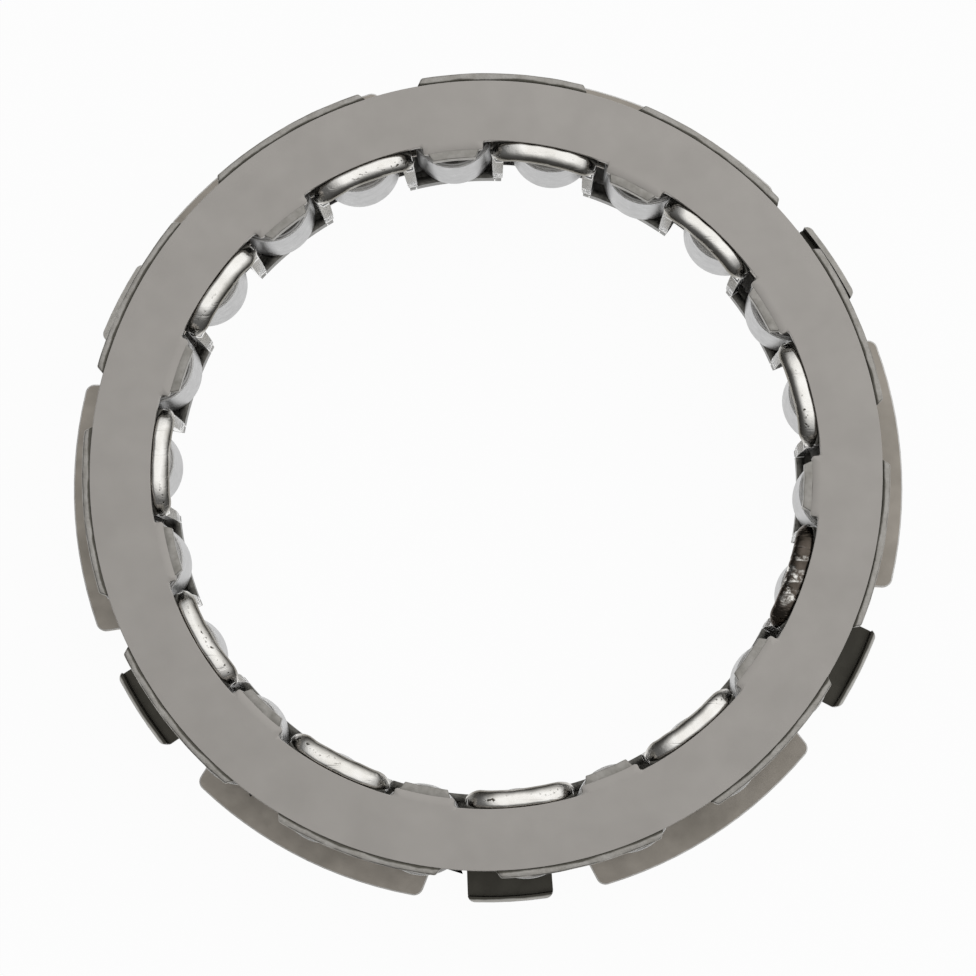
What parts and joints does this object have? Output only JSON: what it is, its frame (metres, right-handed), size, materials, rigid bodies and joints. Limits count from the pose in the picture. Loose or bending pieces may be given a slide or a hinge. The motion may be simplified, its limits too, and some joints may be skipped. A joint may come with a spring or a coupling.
{
  "type": "sprag clutch",
  "caption": "Double-cage sprag clutch ring with a notched cover plate, rolling sprags between two races and lugged rear plates.",
  "frame": {"origin": "on the ring axis, in the plane of the rear face the clutch lies on", "axes": "+Z along the ring axis, out of the front cover plate; +X and +Y across the ring"},
  "size_m": [0.074, 0.074, 0.0149],
  "materials": {
    "plate_steel": "matte",
    "bright_steel": "polished",
    "sprag_steel": "ground",
    "lug_steel": "matte",
    "spring_steel": "dark blued"
  },
  "bodies": {
    "cage_assembly": {"cover_plate": "plate_steel", "outer_cage": "plate_steel", "ribbon_spring": "spring_steel", "rear_lug_plate": "lug_steel", "rear_spring_ring": "spring_steel"},
    "inner_cage_body": {"inner_cage": "bright_steel"},
    "sprag_01_body": {"sprag_01": "sprag_steel"},
    "sprag_02_body": {"sprag_02": "sprag_steel"},
    "sprag_03_body": {"sprag_03": "sprag_steel"},
    "sprag_04_body": {"sprag_04": "sprag_steel"},
    "sprag_05_body": {"sprag_05": "sprag_steel"},
    "sprag_06_body": {"sprag_06": "sprag_steel"},
    "sprag_07_body": {"sprag_07": "sprag_steel"},
    "sprag_08_body": {"sprag_08": "sprag_steel"},
    "sprag_09_body": {"sprag_09": "sprag_steel"},
    "sprag_10_body": {"sprag_10": "sprag_steel"},
    "sprag_11_body": {"sprag_11": "sprag_steel"},
    "sprag_12_body": {"sprag_12": "sprag_steel"},
    "sprag_13_body": {"sprag_13": "sprag_steel"},
    "sprag_14_body": {"sprag_14": "sprag_steel"},
    "sprag_15_body": {"sprag_15": "sprag_steel"},
    "sprag_16_body": {"sprag_16": "sprag_steel"},
    "sprag_17_body": {"sprag_17": "sprag_steel"},
    "sprag_18_body": {"sprag_18": "sprag_steel"},
    "sprag_19_body": {"sprag_19": "sprag_steel"},
    "sprag_20_body": {"sprag_20": "sprag_steel"},
    "sprag_21_body": {"sprag_21": "sprag_steel"},
    "sprag_22_body": {"sprag_22": "sprag_steel"}
  },
  "joints": [
    {"name": "inner_cage_turn", "type": "hinge", "parent": "cage_assembly", "child": "inner_cage_body", "pos_m": [0, 0, 0.00745], "axis": [0, 0, 1], "range_deg": [-1.4, 0.8], "stiffness_Nm_per_rad": 0.02},
    {"name": "sprag_01_roll", "type": "hinge", "parent": "cage_assembly", "child": "sprag_01_body", "pos_m": [0.03381, 0.00877, 0.00705], "axis": [0, 0, 1], "range_deg": [-3.04, 5.32]},
    {"name": "sprag_02_roll", "type": "hinge", "parent": "cage_assembly", "child": "sprag_02_body", "pos_m": [0.02997, 0.01795, 0.00705], "axis": [0, 0, 1], "range_deg": [-3.04, 5.32]},
    {"name": "sprag_03_roll", "type": "hinge", "parent": "cage_assembly", "child": "sprag_03_body", "pos_m": [0.0237, 0.02566, 0.00705], "axis": [0, 0, 1], "range_deg": [-3.04, 5.32]},
    {"name": "sprag_04_roll", "type": "hinge", "parent": "cage_assembly", "child": "sprag_04_body", "pos_m": [0.01551, 0.0313, 0.00705], "axis": [0, 0, 1], "range_deg": [-3.04, 5.32]},
    {"name": "sprag_05_roll", "type": "hinge", "parent": "cage_assembly", "child": "sprag_05_body", "pos_m": [0.00606, 0.0344, 0.00705], "axis": [0, 0, 1], "range_deg": [-3.04, 5.32]},
    {"name": "sprag_06_roll", "type": "hinge", "parent": "cage_assembly", "child": "sprag_06_body", "pos_m": [-0.00387, 0.03472, 0.00705], "axis": [0, 0, 1], "range_deg": [-3.04, 5.32]},
    {"name": "sprag_07_roll", "type": "hinge", "parent": "cage_assembly", "child": "sprag_07_body", "pos_m": [-0.0135, 0.03222, 0.00705], "axis": [0, 0, 1], "range_deg": [-3.04, 5.32]},
    {"name": "sprag_08_roll", "type": "hinge", "parent": "cage_assembly", "child": "sprag_08_body", "pos_m": [-0.02203, 0.02711, 0.00705], "axis": [0, 0, 1], "range_deg": [-3.04, 5.32]},
    {"name": "sprag_09_roll", "type": "hinge", "parent": "cage_assembly", "child": "sprag_09_body", "pos_m": [-0.02877, 0.01981, 0.00705], "axis": [0, 0, 1], "range_deg": [-3.04, 5.32]},
    {"name": "sprag_10_roll", "type": "hinge", "parent": "cage_assembly", "child": "sprag_10_body", "pos_m": [-0.03319, 0.0109, 0.00705], "axis": [0, 0, 1], "range_deg": [-3.04, 5.32]},
    {"name": "sprag_11_roll", "type": "hinge", "parent": "cage_assembly", "child": "sprag_11_body", "pos_m": [-0.03491, 0.00111, 0.00705], "axis": [0, 0, 1], "range_deg": [-3.04, 5.32]},
    {"name": "sprag_12_roll", "type": "hinge", "parent": "cage_assembly", "child": "sprag_12_body", "pos_m": [-0.03381, -0.00877, 0.00705], "axis": [0, 0, 1], "range_deg": [-3.04, 5.32]},
    {"name": "sprag_13_roll", "type": "hinge", "parent": "cage_assembly", "child": "sprag_13_body", "pos_m": [-0.02997, -0.01795, 0.00705], "axis": [0, 0, 1], "range_deg": [-3.04, 5.32]},
    {"name": "sprag_14_roll", "type": "hinge", "parent": "cage_assembly", "child": "sprag_14_body", "pos_m": [-0.0237, -0.02566, 0.00705], "axis": [0, 0, 1], "range_deg": [-3.04, 5.32]},
    {"name": "sprag_15_roll", "type": "hinge", "parent": "cage_assembly", "child": "sprag_15_body", "pos_m": [-0.01551, -0.0313, 0.00705], "axis": [0, 0, 1], "range_deg": [-3.04, 5.32]},
    {"name": "sprag_16_roll", "type": "hinge", "parent": "cage_assembly", "child": "sprag_16_body", "pos_m": [-0.00606, -0.0344, 0.00705], "axis": [0, 0, 1], "range_deg": [-3.04, 5.32]},
    {"name": "sprag_17_roll", "type": "hinge", "parent": "cage_assembly", "child": "sprag_17_body", "pos_m": [0.00387, -0.03472, 0.00705], "axis": [0, 0, 1], "range_deg": [-3.04, 5.32]},
    {"name": "sprag_18_roll", "type": "hinge", "parent": "cage_assembly", "child": "sprag_18_body", "pos_m": [0.0135, -0.03222, 0.00705], "axis": [0, 0, 1], "range_deg": [-3.04, 5.32]},
    {"name": "sprag_19_roll", "type": "hinge", "parent": "cage_assembly", "child": "sprag_19_body", "pos_m": [0.02203, -0.02711, 0.00705], "axis": [0, 0, 1], "range_deg": [-3.04, 5.32]},
    {"name": "sprag_20_roll", "type": "hinge", "parent": "cage_assembly", "child": "sprag_20_body", "pos_m": [0.02877, -0.01981, 0.00705], "axis": [0, 0, 1], "range_deg": [-3.04, 5.32]},
    {"name": "sprag_21_roll", "type": "hinge", "parent": "cage_assembly", "child": "sprag_21_body", "pos_m": [0.03319, -0.0109, 0.00705], "axis": [0, 0, 1], "range_deg": [-3.04, 5.32]},
    {"name": "sprag_22_roll", "type": "hinge", "parent": "cage_assembly", "child": "sprag_22_body", "pos_m": [0.03491, -0.00111, 0.00705], "axis": [0, 0, 1], "range_deg": [-3.04, 5.32]}
  ],
  "couplings": [
    {"joint": "sprag_01_roll", "follows": "inner_cage_turn", "ratio": -3.8},
    {"joint": "sprag_02_roll", "follows": "inner_cage_turn", "ratio": -3.8},
    {"joint": "sprag_03_roll", "follows": "inner_cage_turn", "ratio": -3.8},
    {"joint": "sprag_04_roll", "follows": "inner_cage_turn", "ratio": -3.8},
    {"joint": "sprag_05_roll", "follows": "inner_cage_turn", "ratio": -3.8},
    {"joint": "sprag_06_roll", "follows": "inner_cage_turn", "ratio": -3.8},
    {"joint": "sprag_07_roll", "follows": "inner_cage_turn", "ratio": -3.8},
    {"joint": "sprag_08_roll", "follows": "inner_cage_turn", "ratio": -3.8},
    {"joint": "sprag_09_roll", "follows": "inner_cage_turn", "ratio": -3.8},
    {"joint": "sprag_10_roll", "follows": "inner_cage_turn", "ratio": -3.8},
    {"joint": "sprag_11_roll", "follows": "inner_cage_turn", "ratio": -3.8},
    {"joint": "sprag_12_roll", "follows": "inner_cage_turn", "ratio": -3.8},
    {"joint": "sprag_13_roll", "follows": "inner_cage_turn", "ratio": -3.8},
    {"joint": "sprag_14_roll", "follows": "inner_cage_turn", "ratio": -3.8},
    {"joint": "sprag_15_roll", "follows": "inner_cage_turn", "ratio": -3.8},
    {"joint": "sprag_16_roll", "follows": "inner_cage_turn", "ratio": -3.8},
    {"joint": "sprag_17_roll", "follows": "inner_cage_turn", "ratio": -3.8},
    {"joint": "sprag_18_roll", "follows": "inner_cage_turn", "ratio": -3.8},
    {"joint": "sprag_19_roll", "follows": "inner_cage_turn", "ratio": -3.8},
    {"joint": "sprag_20_roll", "follows": "inner_cage_turn", "ratio": -3.8},
    {"joint": "sprag_21_roll", "follows": "inner_cage_turn", "ratio": -3.8},
    {"joint": "sprag_22_roll", "follows": "inner_cage_turn", "ratio": -3.8}
  ]
}
